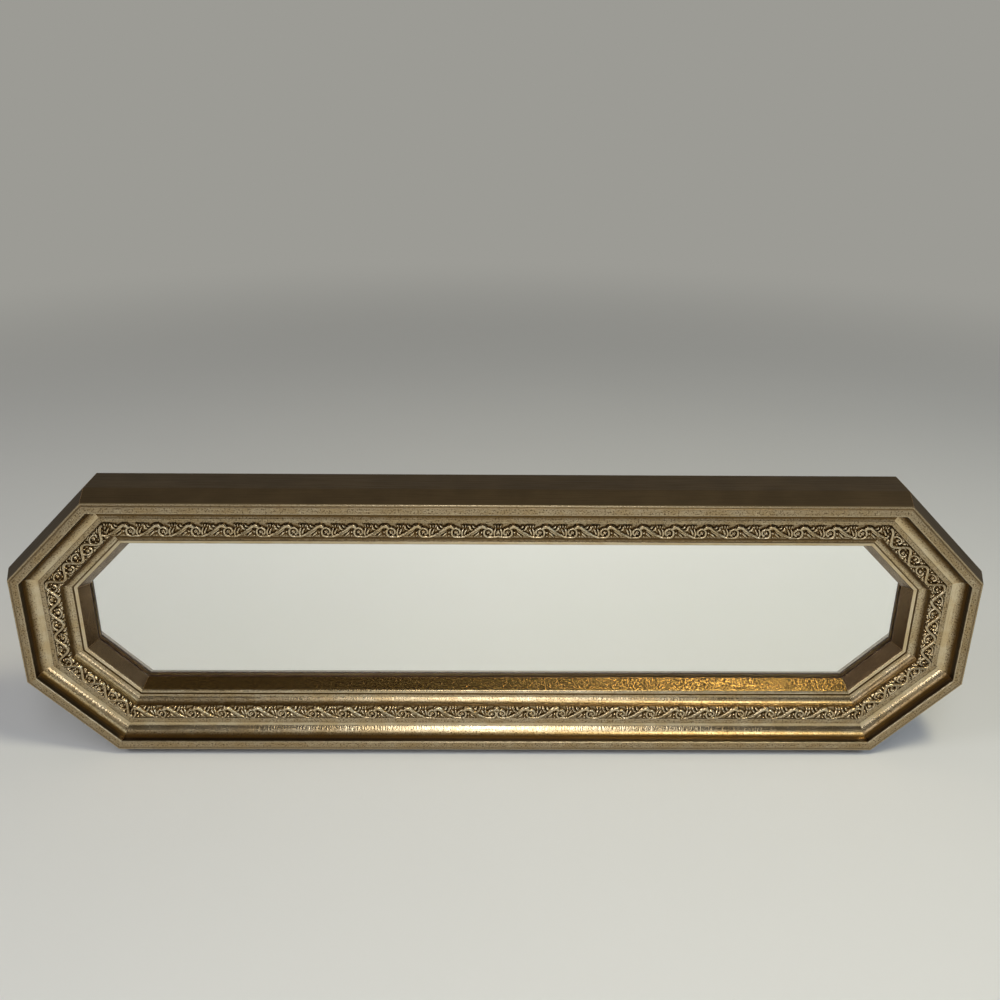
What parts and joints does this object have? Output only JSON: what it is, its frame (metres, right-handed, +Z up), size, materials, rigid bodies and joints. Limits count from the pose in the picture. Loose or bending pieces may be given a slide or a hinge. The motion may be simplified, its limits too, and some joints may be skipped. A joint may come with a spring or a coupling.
{
  "type": "wall mirror",
  "caption": "Octagonal wall mirror, wider than tall, in a deep stepped gilt moulding with a running scroll ornament; swinging rings on its back take wall hooks.",
  "frame": {"origin": "on the surface that the mirror stands on, under the middle of its box", "axes": "+X along the long side, +Y from the front to the wall, +Z up"},
  "size_m": [0.762, 0.0546, 0.2318],
  "materials": {
    "gilt_wood": "aged metal leaf with a dark wash in the recesses, worn along the arrises",
    "gilt_ornament": "aged metal leaf over moulded composition, dark in the hollows",
    "silvered_glass": "polished",
    "filler_card": "matt card",
    "hardboard": "matt pressed fibre",
    "bright_steel": "stamped steel",
    "plated_steel": "nickel plate, lightly worn",
    "bumper_rubber": "matt rubber"
  },
  "bodies": {
    "frame": {"bottom_rail": "gilt_wood", "bottom_left_rail": "gilt_wood", "left_rail": "gilt_wood", "top_left_rail": "gilt_wood", "top_rail": "gilt_wood", "top_right_rail": "gilt_wood", "right_rail": "gilt_wood", "bottom_right_rail": "gilt_wood", "bottom_ornament": "gilt_ornament", "bottom_left_ornament": "gilt_ornament", "left_ornament": "gilt_ornament", "top_left_ornament": "gilt_ornament", "top_ornament": "gilt_ornament", "top_right_ornament": "gilt_ornament", "right_ornament": "gilt_ornament", "bottom_right_ornament": "gilt_ornament", "mirror_glass": "silvered_glass", "filler_sheet": "filler_card", "backing_board": "hardboard", "retaining_points": "bright_steel", "mitre_nails": "bright_steel", "left_hanger_plate": "plated_steel", "right_hanger_plate": "plated_steel", "hanger_screws": "plated_steel", "wall_bumpers": "bumper_rubber"},
    "left_ring": {"left_hanger_ring": "plated_steel"},
    "right_ring": {"right_hanger_ring": "plated_steel"}
  },
  "joints": [
    {"name": "left_ring_swing", "type": "hinge", "parent": "frame", "child": "left_ring", "pos_m": [-0.35715, 0.02385, 0.12988], "axis": [1, 0, 0], "range_deg": [0, 180]},
    {"name": "right_ring_swing", "type": "hinge", "parent": "frame", "child": "right_ring", "pos_m": [0.35715, 0.02385, 0.12988], "axis": [1, 0, 0], "range_deg": [0, 180]}
  ]
}
